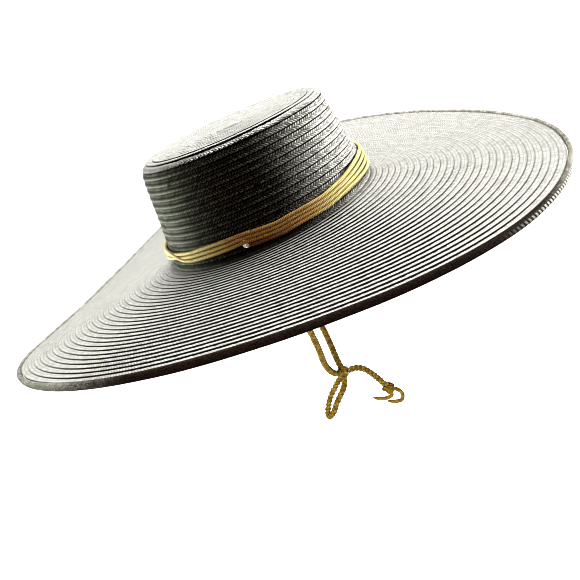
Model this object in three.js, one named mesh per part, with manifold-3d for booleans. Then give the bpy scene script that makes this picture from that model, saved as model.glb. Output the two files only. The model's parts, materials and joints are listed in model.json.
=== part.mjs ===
// Wide-brimmed sun hat sewn from rows of straw braid, with a cord band and a plaited chin cord.
// Millimetres. +Z is the crown's axis, +X is the wearer's front and +Y the wearer's left.
// The origin is the middle of the head opening, at the height where crown and brim meet.
import * as THREE from 'three';
import { mergeVertices } from 'three/addons/utils/BufferGeometryUtils.js';
import Module from 'manifold-3d';

const wasm = await Module();
wasm.setup();

// Gap kept between neighbouring pieces, and the seam between crown and brim
const clearance = 0.3;
const seam = 0.4;

// Straw braid: wall under the rows, and how far a row's outer edge stands over the next row
const strawWall = 1.6;
const rowStep = 0.8;

// Crown: an oval drum that narrows upwards, with a flat top and a rounded shoulder.
// Its wall swells a little under the shoulder at the back.
const crown = {
  halfLength: 97,
  halfWidth: 88,
  height: 89,
  taper: 12.5,
  shoulderRadius: 9,
  forwardLean: 2.5,
  frontDrop: 0.038,
  leftDrop: 0.045,
  centreOval: 20,
  backSwell: 1.6,
  rows: 28,
  segments: 32,
  shoulderSteps: 3,
};

// Brim: from the foot of the crown to a nearly round rim
const brim = {
  rimRadius: 259,
  rimForward: 1,
  riseOverRoll: 1.8,
  rows: 28,
  rowGrowth: 0.1,
  segments: 32,
};

// The rim's height goes round the hat in waves: a mean, a tilt, a saddle and two finer waves
const rimWaves = [
  { turns: 0, along: -20.6, across: 0 },
  { turns: 1, along: -9.7, across: -1.0 },
  { turns: 2, along: -13.0, across: 11.8 },
  { turns: 3, along: -1.2, across: -5.7 },
  { turns: 4, along: 2.4, across: 0 },
];

// Rolled straw edge round the rim
const roll = { halfWidth: 2.5, halfHeight: 3.5, sides: 8 };

// Cord band: plain cords laid round the foot of the crown, and the two holes that the chin cord uses
const bandCord = {
  diameter: 2.7,
  sides: 8,
  standOff: 3.0,
  loopSteps: 34,
  frontSteps: 20,
  endGap: 0.5,
  frontEnd: { azimuth: 106.1, front: 9.3 },
};
const eyelet = { azimuth: 106.4, height: 10.0, radius: 3.6, sides: 12, drillLength: 12 };

// Height of each band cord at azimuths measured either way from the front.
// The front cord stops at the eyelets. The lower cord climbs over the others at the back,
// lifted off them while it crosses.
const bandRows = [
  { azimuth: 0, upper: 23.2, middle: 18.6, lower: 14.0, front: 9.4, lift: 0 },
  { azimuth: 20, upper: 23.2, middle: 18.6, lower: 14.0, front: 9.4, lift: 0 },
  { azimuth: 35, upper: 21.0, middle: 17.0, lower: 13.2, front: 9.5, lift: 0 },
  { azimuth: 45, upper: 18.9, middle: 15.5, lower: 12.3, front: 9.1, lift: 0 },
  { azimuth: 55, upper: 17.5, middle: 14.2, lower: 11.0, front: 7.8, lift: 0 },
  { azimuth: 62, upper: 16.5, middle: 13.4, lower: 10.3, front: 7.1, lift: 0 },
  { azimuth: 70, upper: 16.6, middle: 13.5, lower: 10.4, front: 7.3, lift: 0 },
  { azimuth: 81, upper: 16.7, middle: 13.6, lower: 10.5, front: 7.4, lift: 0 },
  { azimuth: 88, upper: 16.2, middle: 13.1, lower: 10.0, front: 6.9, lift: 0 },
  { azimuth: 93, upper: 16.7, middle: 13.6, lower: 10.5, front: 7.4, lift: 0 },
  { azimuth: 99, upper: 17.6, middle: 14.5, lower: 11.4, front: 8.0, lift: 0 },
  { azimuth: 105, upper: 18.6, middle: 15.5, lower: 12.4, lift: 0 },
  { azimuth: 115, upper: 18.6, middle: 15.2, lower: 11.8, lift: 0 },
  { azimuth: 125, upper: 18.2, middle: 14.7, lower: 11.2, lift: 0 },
  { azimuth: 132, upper: 17.5, middle: 14.2, lower: 10.8, lift: 0.2 },
  { azimuth: 138, upper: 16.8, middle: 13.6, lower: 10.4, lift: 0.9 },
  { azimuth: 142, upper: 16.6, middle: 13.4, lower: 10.6, lift: 2.2 },
  { azimuth: 147, upper: 16.4, middle: 13.2, lower: 11.7, lift: 3.5 },
  { azimuth: 152, upper: 16.2, middle: 13.1, lower: 14.2, lift: 3.9 },
  { azimuth: 158, upper: 15.6, middle: 12.4, lower: 16.7, lift: 3.6 },
  { azimuth: 165, upper: 14.4, middle: 11.2, lower: 17.6, lift: 2.2 },
  { azimuth: 172, upper: 13.6, middle: 10.4, lower: 17.0, lift: 0.6 },
  { azimuth: 180, upper: 13.4, middle: 10.2, lower: 16.7, lift: 0 },
];

// Chin cord: plaited, tied under the chin with a hanging loop and a free end
const chinCord = { diameter: 5.5, sides: 8, stepLength: 10, outOfWall: 0.4 };
const tail = { diameter: 2.8, sides: 8, stepLength: 7 };
const chinKnot = { centre: [-5.4, 0, -168], radius: 6 };
const endKnot = { centre: [26.4, 0, -202.8], radius: 4.5 };
const knotDetail = 1;

// Routes in order from the hat downwards; the knots close each one
const rightRoute = [
  [-25.2, -78.1, 9.6],
  [-24.4, -71.5, 6.0],
  [-23.6, -68.4, -1.8],
  [-21.0, -68.0, -28],
  [-17.0, -66.5, -60],
  [-13.3, -62.0, -88.9],
  [-14.0, -48.0, -113.6],
  [-16.0, -27.0, -143.5],
  [-12.2, -10.0, -161.2],
];
const leftRoute = [
  [-25.2, 78.1, 9.6],
  [-24.4, 71.5, 6.0],
  [-23.6, 68.4, -1.8],
  [-20.0, 68.5, -30],
  [-15.5, 66.5, -65],
  [-10.0, 58.0, -103],
  [-5.4, 40.0, -132.2],
  [-5.1, 28.0, -144.0],
  [-5.6, 13.0, -156.4],
];
const loopRoute = [
  [-9.6, -7.0, -177.2],
  [-22.5, -8.5, -188.9],
  [-31.5, -6.5, -199.0],
  [-36.4, 0, -203.4],
  [-35.6, 6.5, -200.8],
  [-28.0, 8.5, -190.4],
  [-18.4, 6.8, -181.0],
];
const freeRoute = [
  [6.5, 0, -169.6],
  [12.6, 0, -173.6],
  [19.0, 0, -184.0],
];
const longTailRoute = [
  [33.6, 2, -210.0],
  [36.0, 2, -216.2],
  [33.0, 2, -221.6],
  [27.0, 2, -220.6],
  [20.5, 2, -216.6],
];
const shortTailRoute = [
  [26.4, -2.2, -210.4],
  [20.0, -2.4, -210.8],
  [14.6, -2.4, -208.4],
  [9.4, -2.4, -204.2],
];

const colours = {
  straw: { color: 0xcfd0c6, roughness: 0.75, metalness: 0 },
  edge: { color: 0x8f8a7c, roughness: 0.8, metalness: 0 },
  band: { color: 0xe0bf4a, roughness: 0.6, metalness: 0 },
  chin: { color: 0xb8962f, roughness: 0.65, metalness: 0 },
};

// Points nearer than this are one vertex
const weldDistance = 1e-4;

const hat = new THREE.Group();

function addPiece(name, geometry, finish) {
  const mesh = new THREE.Mesh(geometry, new THREE.MeshStandardMaterial(finish));
  mesh.name = name;
  hat.add(mesh);
}

// Shares the vertices of neighbouring faces and drops the flat triangles at a lathe's axis
function weld(geometry) {
  const bare = geometry.clone();
  bare.deleteAttribute('normal');
  bare.deleteAttribute('uv');
  const welded = mergeVertices(bare, weldDistance);
  const kept = [];
  for (let i = 0; i < welded.index.count; i += 3) {
    const corners = [0, 1, 2].map((n) => welded.index.getX(i + n));
    if (new Set(corners).size === 3) kept.push(...corners);
  }
  welded.setIndex(kept);
  welded.computeVertexNormals();
  return welded;
}

function toManifold(geometry) {
  const vertProperties = new Float32Array(geometry.attributes.position.array);
  const triVerts = new Uint32Array(geometry.index.array);
  return new wasm.Manifold(new wasm.Mesh({ numProp: 3, vertProperties, triVerts }));
}

function fromManifold(solid) {
  const mesh = solid.getMesh();
  const geometry = new THREE.BufferGeometry();
  geometry.setAttribute('position', new THREE.BufferAttribute(mesh.vertProperties, 3));
  geometry.setIndex(new THREE.BufferAttribute(mesh.triVerts, 1));
  geometry.computeVertexNormals();
  return geometry;
}

// A round lathe about +Z whose every vertex is then moved by place(radius, angle, height)
function latheAndPlace(profile, segments, place) {
  const geometry = new THREE.LatheGeometry(profile, segments).rotateX(Math.PI / 2);
  const position = geometry.attributes.position;
  for (let i = 0; i < position.count; i += 1) {
    const [x, y, z] = [position.getX(i), position.getY(i), position.getZ(i)];
    const point = place(Math.hypot(x, y), Math.atan2(y, x), z);
    position.setXYZ(i, point.x, point.y, point.z);
  }
  return weld(geometry);
}

// Oval rings of the crown: the width falls short of the length by the same amount, less near the centre
function crownPoint(radius, angle, height) {
  const narrower = (crown.halfLength - crown.halfWidth) * Math.min(1, radius / crown.centreOval);
  const rise = height / crown.height;
  const swell = crown.backSwell * Math.sin(Math.PI * Math.max(rise, 0) ** 3);
  const x = (radius + swell * Math.max(-Math.cos(angle), 0)) * Math.cos(angle) + crown.forwardLean * rise;
  const y = (radius - narrower) * Math.sin(angle);
  return new THREE.Vector3(x, y, height - rise * (crown.frontDrop * x + crown.leftDrop * y));
}

// Point beside the crown's side wall, out from it by a distance
function besideCrown(azimuth, height, out) {
  const radius = crown.halfLength - (crown.taper * height) / crown.height + out;
  return crownPoint(radius, THREE.MathUtils.degToRad(azimuth), height);
}

function rimHeight(angle) {
  const heights = rimWaves.map(({ turns, along, across }) =>
    along * Math.cos(turns * angle) + across * Math.sin(turns * angle));
  return heights.reduce((sum, height) => sum + height, 0);
}

function rimPoint(angle, out, up) {
  const radius = brim.rimRadius + out;
  const x = brim.rimForward + radius * Math.cos(angle);
  return new THREE.Vector3(x, radius * Math.sin(angle), rimHeight(angle) + up);
}

// Outline of lapped rows along a path: each row rises to its outer edge, then drops to the next
function lappedRows(path, rows, share) {
  const points = [];
  for (let row = 0; row < rows; row += 1) {
    for (const [edge, lift] of [[row, 0], [row + 1, rowStep]]) {
      const at = Math.min(share(edge / rows), 1);
      const point = path.getPointAt(at);
      const tangent = path.getTangentAt(at);
      points.push(new THREE.Vector2(point.x - lift * tangent.y, point.y + lift * tangent.x));
    }
  }
  return points;
}

// The crown's outer wall runs from the centre of the top, over the shoulder and down to the seam
function crownWall(inset) {
  const slope = Math.atan2(crown.taper, crown.height);
  const radius = crown.shoulderRadius - inset;
  const centreX = crown.halfLength - crown.taper - crown.shoulderRadius;
  const centreY = crown.height - crown.shoulderRadius;
  const foot = crown.halfLength - inset;
  const wall = new THREE.Path();
  wall.moveTo(0, crown.height - inset);
  wall.lineTo(centreX, crown.height - inset);
  wall.absarc(centreX, centreY, radius, Math.PI / 2, slope, true);
  wall.lineTo(foot, seam);
  return wall;
}

function makeCrown() {
  const outside = lappedRows(crownWall(0), crown.rows, (part) => part);
  const inside = crownWall(strawWall).getPoints(crown.shoulderSteps);
  const profile = [...inside, ...outside.reverse()];
  let solid = toManifold(latheAndPlace(profile, crown.segments, crownPoint));
  for (const side of [-1, 1]) {
    const { radius, drillLength, sides } = eyelet;
    const drill = new THREE.CylinderGeometry(radius, radius, drillLength, sides);
    const middle = besideCrown(side * eyelet.azimuth, eyelet.height, 0);
    const axis = new THREE.Vector3(0, 1, 0);
    drill.applyQuaternion(new THREE.Quaternion().setFromUnitVectors(axis, wallNormal(side)));
    drill.translate(middle.x, middle.y, middle.z);
    solid = solid.subtract(toManifold(weld(drill)));
  }
  return fromManifold(solid);
}

// Direction out of the crown's wall at the eyelet on one side
function wallNormal(side) {
  const angle = side * eyelet.azimuth;
  const out = besideCrown(angle, eyelet.height, 0);
  const along = besideCrown(angle + 1, eyelet.height, 0).sub(out);
  const up = besideCrown(angle, eyelet.height + 1, 0).sub(out);
  return along.cross(up).normalize();
}

// The brim's rows run straight from the crown's foot to the rim; radius - 1 is the share of the way
function brimPoint(radius, angle, height) {
  const share = radius - 1;
  const foot = crownPoint(crown.halfLength, angle, 0);
  const rim = rimPoint(angle, -roll.halfWidth - clearance, brim.riseOverRoll);
  const point = foot.clone().lerp(rim, share);
  point.z = Math.max(share, 0) * rim.z + height;
  return point;
}

function makeBrim() {
  const lip = -strawWall / (brim.rimRadius - crown.halfLength);
  const top = new THREE.Path([new THREE.Vector2(1, 0), new THREE.Vector2(2, 0)]);
  const grow = (part) => part * (1 - brim.rowGrowth + brim.rowGrowth * part);
  const rows = lappedRows(top, brim.rows, grow);
  const under = [new THREE.Vector2(1 + lip, -strawWall), new THREE.Vector2(2, -strawWall)];
  const corner = new THREE.Vector2(1 + lip, 0);
  const profile = [corner, ...under, ...rows.reverse(), corner];
  return latheAndPlace(profile, brim.segments, brimPoint);
}

function makeRoll() {
  const section = [];
  for (let corner = 0; corner <= roll.sides; corner += 1) {
    const turn = ((corner + 0.5) / roll.sides) * 2 * Math.PI;
    const x = brim.rimRadius + roll.halfWidth * Math.cos(turn);
    section.push(new THREE.Vector2(x, roll.halfHeight * Math.sin(turn)));
  }
  return latheAndPlace(section, brim.segments, (radius, angle, height) =>
    rimPoint(angle, radius - brim.rimRadius, height));
}

function tube(points, diameter, sides, steps) {
  const section = new THREE.Shape();
  for (let corner = 0; corner < sides; corner += 1) {
    const turn = (corner / sides) * 2 * Math.PI;
    const [x, y] = [(diameter / 2) * Math.cos(turn), (diameter / 2) * Math.sin(turn)];
    if (corner === 0) section.moveTo(x, y);
    else section.lineTo(x, y);
  }
  section.closePath();
  const extrudePath = new THREE.CatmullRomCurve3(points, false, 'centripetal');
  return weld(new THREE.ExtrudeGeometry(section, { steps, bevelEnabled: false, extrudePath }));
}

// A band cord that goes right round, its two ends meeting at the back
function makeBandLoop(column) {
  const halfGap = THREE.MathUtils.radToDeg(bandCord.endGap / 2 / crown.halfLength);
  const points = [];
  for (const side of [1, -1]) {
    const rows = side > 0 ? [...bandRows].reverse() : bandRows.slice(1);
    for (const row of rows) {
      const azimuth = side * Math.min(row.azimuth, 180 - halfGap);
      const lift = column === 'lower' ? row.lift : 0;
      points.push(besideCrown(azimuth, row[column], bandCord.standOff + lift));
    }
  }
  return tube(points, bandCord.diameter, bandCord.sides, bandCord.loopSteps);
}

// The band cord that lies from over one eyelet, round the front, to over the other
function makeFrontCord() {
  const rows = bandRows.filter((row) => row.front !== undefined);
  const half = [...rows, bandCord.frontEnd];
  const points = [];
  for (const side of [1, -1]) {
    const along = half.map((row) => besideCrown(side * row.azimuth, row.front, bandCord.standOff));
    points.push(...(side > 0 ? along.reverse() : along.slice(1)));
  }
  return tube(points, bandCord.diameter, bandCord.sides, bandCord.frontSteps);
}

function toVectors(route) {
  return route.map(([x, y, z]) => new THREE.Vector3(x, y, z));
}

// The point of a knot's surface that faces a place, with the gap between cord and knot
function besideKnot(knot, place) {
  const centre = new THREE.Vector3(...knot.centre);
  const away = place.clone().sub(centre).normalize();
  return centre.addScaledVector(away, knot.radius + clearance);
}

function makeCord(points, cord) {
  const length = new THREE.CatmullRomCurve3(points, false, 'centripetal').getLength();
  return tube(points, cord.diameter, cord.sides, Math.ceil(length / cord.stepLength));
}

function makeChinStrand(side, route) {
  const start = besideCrown(side * eyelet.azimuth, eyelet.height, 0);
  start.addScaledVector(wallNormal(side), chinCord.outOfWall);
  const points = toVectors(route);
  return makeCord([start, ...points, besideKnot(chinKnot, points.at(-1))], chinCord);
}

// A length of the chin cord that leaves one knot and ends at a knot
function makeBetween(firstKnot, route, lastKnot) {
  const points = toVectors(route);
  const first = besideKnot(firstKnot, points[0]);
  return makeCord([first, ...points, besideKnot(lastKnot, points.at(-1))], chinCord);
}

function makeTail(route) {
  const points = toVectors(route);
  return makeCord([besideKnot(endKnot, points[0]), ...points], tail);
}

function makeKnot(knot) {
  return weld(new THREE.IcosahedronGeometry(knot.radius, knotDetail).translate(...knot.centre));
}

addPiece('crown', makeCrown(), colours.straw);
addPiece('brim', makeBrim(), colours.straw);
addPiece('edge_roll', makeRoll(), colours.edge);
addPiece('band_cord_upper', makeBandLoop('upper'), colours.band);
addPiece('band_cord_middle', makeBandLoop('middle'), colours.band);
addPiece('band_cord_lower', makeBandLoop('lower'), colours.band);
addPiece('band_cord_front', makeFrontCord(), colours.band);
addPiece('chin_cord_right', makeChinStrand(-1, rightRoute), colours.chin);
addPiece('chin_cord_left', makeChinStrand(1, leftRoute), colours.chin);
addPiece('chin_knot', makeKnot(chinKnot), colours.chin);
addPiece('chin_loop', makeBetween(chinKnot, loopRoute, chinKnot), colours.chin);
addPiece('chin_free_end', makeBetween(chinKnot, freeRoute, endKnot), colours.chin);
addPiece('end_knot', makeKnot(endKnot), colours.chin);
addPiece('tail_long', makeTail(longTailRoute), colours.chin);
addPiece('tail_short', makeTail(shortTailRoute), colours.chin);

export default hat;
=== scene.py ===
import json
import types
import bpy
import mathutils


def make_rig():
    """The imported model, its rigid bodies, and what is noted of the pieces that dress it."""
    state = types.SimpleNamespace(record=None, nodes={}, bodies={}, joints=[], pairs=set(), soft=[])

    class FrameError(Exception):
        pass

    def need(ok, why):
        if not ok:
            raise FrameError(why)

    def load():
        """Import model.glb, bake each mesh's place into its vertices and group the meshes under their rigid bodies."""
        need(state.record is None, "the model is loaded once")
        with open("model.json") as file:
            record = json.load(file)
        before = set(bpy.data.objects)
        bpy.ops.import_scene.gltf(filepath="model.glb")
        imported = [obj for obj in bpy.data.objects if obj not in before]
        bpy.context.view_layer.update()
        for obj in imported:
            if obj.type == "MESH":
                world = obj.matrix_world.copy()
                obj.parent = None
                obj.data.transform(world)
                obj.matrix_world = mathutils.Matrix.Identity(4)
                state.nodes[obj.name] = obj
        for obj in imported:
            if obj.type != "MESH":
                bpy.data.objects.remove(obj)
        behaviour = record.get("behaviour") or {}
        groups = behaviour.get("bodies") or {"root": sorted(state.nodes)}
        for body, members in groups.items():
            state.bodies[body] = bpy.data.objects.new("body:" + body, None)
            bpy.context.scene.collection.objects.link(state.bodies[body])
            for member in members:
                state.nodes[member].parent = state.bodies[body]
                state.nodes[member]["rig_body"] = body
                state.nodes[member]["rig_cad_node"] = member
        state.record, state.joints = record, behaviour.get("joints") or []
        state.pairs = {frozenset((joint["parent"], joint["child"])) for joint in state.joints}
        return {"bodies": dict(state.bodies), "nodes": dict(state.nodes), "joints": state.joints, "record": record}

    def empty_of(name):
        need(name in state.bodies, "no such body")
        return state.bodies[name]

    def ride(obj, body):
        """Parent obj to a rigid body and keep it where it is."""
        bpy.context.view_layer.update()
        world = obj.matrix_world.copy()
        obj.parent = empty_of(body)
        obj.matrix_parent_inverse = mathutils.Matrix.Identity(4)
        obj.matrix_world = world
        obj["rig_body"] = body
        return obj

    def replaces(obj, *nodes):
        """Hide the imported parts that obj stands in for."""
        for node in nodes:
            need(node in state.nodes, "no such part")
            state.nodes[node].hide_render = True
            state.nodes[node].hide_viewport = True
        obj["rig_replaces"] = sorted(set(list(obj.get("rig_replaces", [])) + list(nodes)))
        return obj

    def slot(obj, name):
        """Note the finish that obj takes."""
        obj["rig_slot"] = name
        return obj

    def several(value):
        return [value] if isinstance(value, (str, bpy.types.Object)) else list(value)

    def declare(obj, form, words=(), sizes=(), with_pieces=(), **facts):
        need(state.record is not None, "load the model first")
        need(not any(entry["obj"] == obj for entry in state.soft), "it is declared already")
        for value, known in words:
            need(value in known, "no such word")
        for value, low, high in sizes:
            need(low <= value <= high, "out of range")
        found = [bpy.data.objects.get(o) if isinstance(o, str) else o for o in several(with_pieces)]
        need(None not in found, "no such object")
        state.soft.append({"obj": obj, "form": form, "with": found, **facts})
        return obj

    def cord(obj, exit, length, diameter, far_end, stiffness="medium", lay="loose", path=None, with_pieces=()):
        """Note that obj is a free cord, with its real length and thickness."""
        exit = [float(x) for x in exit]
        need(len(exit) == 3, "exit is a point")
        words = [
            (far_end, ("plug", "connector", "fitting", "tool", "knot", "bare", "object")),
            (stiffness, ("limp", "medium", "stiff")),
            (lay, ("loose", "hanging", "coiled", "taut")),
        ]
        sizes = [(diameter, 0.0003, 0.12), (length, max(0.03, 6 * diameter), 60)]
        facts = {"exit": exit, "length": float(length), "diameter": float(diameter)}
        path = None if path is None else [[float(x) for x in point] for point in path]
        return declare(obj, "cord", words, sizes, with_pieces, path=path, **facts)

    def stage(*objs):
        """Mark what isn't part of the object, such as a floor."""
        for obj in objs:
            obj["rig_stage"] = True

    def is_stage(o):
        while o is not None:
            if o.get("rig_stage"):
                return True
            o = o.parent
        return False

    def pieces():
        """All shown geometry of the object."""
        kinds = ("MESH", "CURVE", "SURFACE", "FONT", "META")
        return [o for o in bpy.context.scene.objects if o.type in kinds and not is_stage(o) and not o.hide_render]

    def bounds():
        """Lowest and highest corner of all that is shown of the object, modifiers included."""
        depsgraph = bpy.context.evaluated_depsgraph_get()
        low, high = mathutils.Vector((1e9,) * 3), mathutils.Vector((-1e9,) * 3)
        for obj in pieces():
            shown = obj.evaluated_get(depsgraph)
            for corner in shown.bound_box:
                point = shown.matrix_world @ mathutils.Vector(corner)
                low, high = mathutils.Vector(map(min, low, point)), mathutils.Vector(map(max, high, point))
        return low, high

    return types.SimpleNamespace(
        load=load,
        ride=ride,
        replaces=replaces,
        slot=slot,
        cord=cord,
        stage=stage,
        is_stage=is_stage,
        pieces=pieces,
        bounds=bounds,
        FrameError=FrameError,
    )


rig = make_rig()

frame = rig.load()
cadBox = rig.bounds()

import json
import math

import bmesh
import bpy
from mathutils import Matrix, Vector, noise

# Everything is in metres in the model's frame: +X is the wearer's front, +Y the wearer's left
tau = 2 * math.pi


# Camera: the photo's view, with the hat kept level and the camera rolled instead
cameraView = {
    "place": (0.0264, -0.9287, 0.2527),
    "right": (0.897, -0.109, -0.428),
    "up": (0.440, 0.313, 0.842),
    "lens": 66.77,
    "sensor": 36.0,
}


def makeCamera(view):
    data = bpy.data.cameras.new("photoCamera")
    data.lens = view["lens"]
    data.sensor_width = view["sensor"]
    right = Vector(view["right"]).normalized()
    back = right.cross(Vector(view["up"])).normalized()
    up = back.cross(right)
    camera = bpy.data.objects.new("photoCamera", data)
    turn = Matrix((right, up, back)).transposed().to_4x4()
    camera.matrix_world = Matrix.Translation(view["place"]) @ turn
    bpy.context.collection.objects.link(camera)
    bpy.context.scene.camera = camera


makeCamera(cameraView)
print("camera set")


# Shader maths: a Value wraps a socket, so that sums on it add Math nodes
class Value:
    def __init__(self, finish, socket):
        self.finish = finish
        self.socket = socket

    def other(self, name):  # another output of the same node
        return Value(self.finish, self.socket.node.outputs[name])

    def math(self, operation, first, second=0.0):
        return self.finish.node("ShaderNodeMath", {"operation": operation}, {0: first, 1: second})

    def __add__(self, b):
        return self.math("ADD", self, b)

    def __radd__(self, b):
        return self.math("ADD", b, self)

    def __sub__(self, b):
        return self.math("SUBTRACT", self, b)

    def __rsub__(self, b):
        return self.math("SUBTRACT", b, self)

    def __mul__(self, b):
        return self.math("MULTIPLY", self, b)

    def __rmul__(self, b):
        return self.math("MULTIPLY", b, self)

    def __truediv__(self, b):
        return self.math("DIVIDE", self, b)

    def __pow__(self, b):
        return self.math("POWER", self, b)

    def __mod__(self, b):
        return self.math("FLOORED_MODULO", self, b)

    def floor(self):
        return self.math("FLOOR", self)

    def fract(self):
        return self.math("FRACT", self)

    def abs(self):
        return self.math("ABSOLUTE", self)

    def round(self):
        return self.math("ROUND", self)

    def sine(self):
        return self.math("SINE", self)

    def clamped(self, low=0.0, high=1.0):
        return self.math("MINIMUM", self.math("MAXIMUM", self, low), high)

    def above(self, low, high):  # 0 at low, 1 at high, smooth between
        settings = {"interpolation_type": "SMOOTHSTEP"}
        sockets = {"Value": self, "From Min": low, "From Max": high}
        return self.finish.node("ShaderNodeMapRange", settings, sockets)

    def ridge(self):  # 0 in the middle of each whole step, 1 at its borders
        return (self.fract() - 0.5).abs() * 2.0


# A material with one Principled shader
class Finish:
    def __init__(self, name, constants):
        self.material = bpy.data.materials.new(name)
        self.material.use_nodes = True
        self.tree = self.material.node_tree
        self.shader = self.tree.nodes["Principled BSDF"]
        for socket, constant in constants.items():
            self.shader.inputs[socket].default_value = constant

    def node(self, kind, settings=None, sockets=None, output=0):
        made = self.tree.nodes.new(kind)
        for key, setting in (settings or {}).items():
            setattr(made, key, setting)
        for key, value in (sockets or {}).items():
            if isinstance(value, Value):
                self.tree.links.new(value.socket, made.inputs[key])
            else:
                made.inputs[key].default_value = value
        return Value(self, made.outputs[output])

    def attribute(self, name):
        return self.node("ShaderNodeAttribute", {"attribute_name": name}, output="Fac")

    def position(self):
        return self.node("ShaderNodeTexCoord", output="Object")

    def alongAround(self):  # millimetres along a tube, and the share of a turn round it
        return self.apart(self.node("ShaderNodeUVMap", {"uv_map": "cordMap"}))[:2]

    def apart(self, vector):  # the three numbers of a vector
        x = self.node("ShaderNodeSeparateXYZ", sockets={0: vector})
        return x, x.other("Y"), x.other("Z")

    def together(self, x, y, z=0.0):
        return self.node("ShaderNodeCombineXYZ", sockets={0: x, 1: y, 2: z})

    def mixed(self, share, first, second):
        sockets = {0: share, 6: self.colour(first), 7: self.colour(second)}
        return self.node("ShaderNodeMix", {"data_type": "RGBA"}, sockets, output=2)

    def colour(self, value):
        return value if isinstance(value, Value) else (*value, 1.0)

    def scaled(self, colour, tone):  # a colour made lighter or darker by a number
        grey = self.together(tone, tone, tone)
        settings = {"data_type": "RGBA", "blend_type": "MULTIPLY"}
        return self.node("ShaderNodeMix", settings, {0: 1.0, 6: colour, 7: grey}, output=2)

    def noisy(self, vector, scale, detail=2.0):
        sockets = {"Vector": vector, "Scale": scale, "Detail": detail}
        return self.node("ShaderNodeTexNoise", sockets=sockets)

    def cellTone(self, x, y):  # one random number for each cell
        place = self.together(x, y)
        return self.node("ShaderNodeTexWhiteNoise", {"noise_dimensions": "2D"}, {"Vector": place})

    def link(self, socket, value):
        self.tree.links.new(value.socket, self.shader.inputs[socket])

    def bump(self, height, strength, distance):
        sockets = {"Strength": strength, "Distance": distance, "Height": height}
        self.link("Normal", self.node("ShaderNodeBump", sockets=sockets))


# Object helpers
def addObject(name, mesh, finish):
    piece = bpy.data.objects.new(name, mesh)
    bpy.context.collection.objects.link(piece)
    mesh.materials.append(finish.material)
    return piece


def meshFrom(name, bm, sharpAngle=None):
    for face in bm.faces:
        face.smooth = True
    if sharpAngle is not None:
        for edge in bm.edges:
            edge.smooth = edge.calc_face_angle(0.0) < sharpAngle
    mesh = bpy.data.meshes.new(name)
    bm.to_mesh(mesh)
    bm.free()
    return mesh


# A smooth curve through route points, centripetal Catmull-Rom, sampled evenly
def smoothRoute(points, closed=False, fine=24):
    knots = [Vector(point) for point in points]
    count = len(knots)
    if closed:
        around = [knots[-1]] + knots + knots[:2]
    else:
        around = [2 * knots[0] - knots[1]] + knots + [2 * knots[-1] - knots[-2]]
    curve = []
    for i in range(count if closed else count - 1):
        a, b, c, d = around[i:i + 4]
        before, here, after = [max((q - p).length, 1e-9) ** 0.5 for p, q in ((a, b), (b, c), (c, d))]
        leave = ((b - a) / before - (c - a) / (before + here) + (c - b) / here) * here
        arrive = ((c - b) / here - (d - b) / (here + after) + (d - c) / after) * here
        for j in range(fine):
            t = j / fine
            near = (2 * t ** 3 - 3 * t ** 2 + 1) * b + (t ** 3 - 2 * t ** 2 + t) * leave
            curve.append(near + (3 * t ** 2 - 2 * t ** 3) * c + (t ** 3 - t ** 2) * arrive)
    curve.append(knots[0].copy() if closed else knots[-1].copy())
    return curve


def evenly(curve, step):
    lengths = [0.0]
    for a, b in zip(curve, curve[1:]):
        lengths.append(lengths[-1] + (b - a).length)
    count = max(2, round(lengths[-1] / step))
    points = []
    i = 0
    for k in range(count + 1):
        target = lengths[-1] * k / count
        while i < len(curve) - 2 and lengths[i + 1] < target:
            i += 1
        share = (target - lengths[i]) / max(lengths[i + 1] - lengths[i], 1e-12)
        points.append(curve[i].lerp(curve[i + 1], share))
    return points, lengths[-1]


def printLength(name, length):
    print(name, "is", round(length * 1000, 1), "mm long")


def wear(piece, node, slot):  # the piece stands for a node of the solids
    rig.replaces(piece, node)
    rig.ride(piece, "root")
    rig.slot(piece, slot)


# Directions across a route that turn as little as they can along it
def crossFrames(points, closed, side):
    frames = []
    across = Vector(side)
    for i, point in enumerate(points):
        if closed:
            ahead = points[(i + 1) % (len(points) - 1)] - points[i - 1 if i else -2]
        else:
            ahead = points[min(i + 1, len(points) - 1)] - points[max(i - 1, 0)]
        ahead.normalize()
        across = (across - ahead * across.dot(ahead)).normalized()
        frames.append((across.copy(), ahead.cross(across)))
    if closed:  # the twist that is left at the end is spread along the loop
        first, last = frames[0], frames[-1]
        twist = math.atan2(last[0].dot(first[1]), last[0].dot(first[0]))
        for i, (x, y) in enumerate(frames):
            turn = twist * i / (len(frames) - 1)
            frames[i] = (x * math.cos(turn) + y * math.sin(turn), y * math.cos(turn) - x * math.sin(turn))
    return frames


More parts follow.
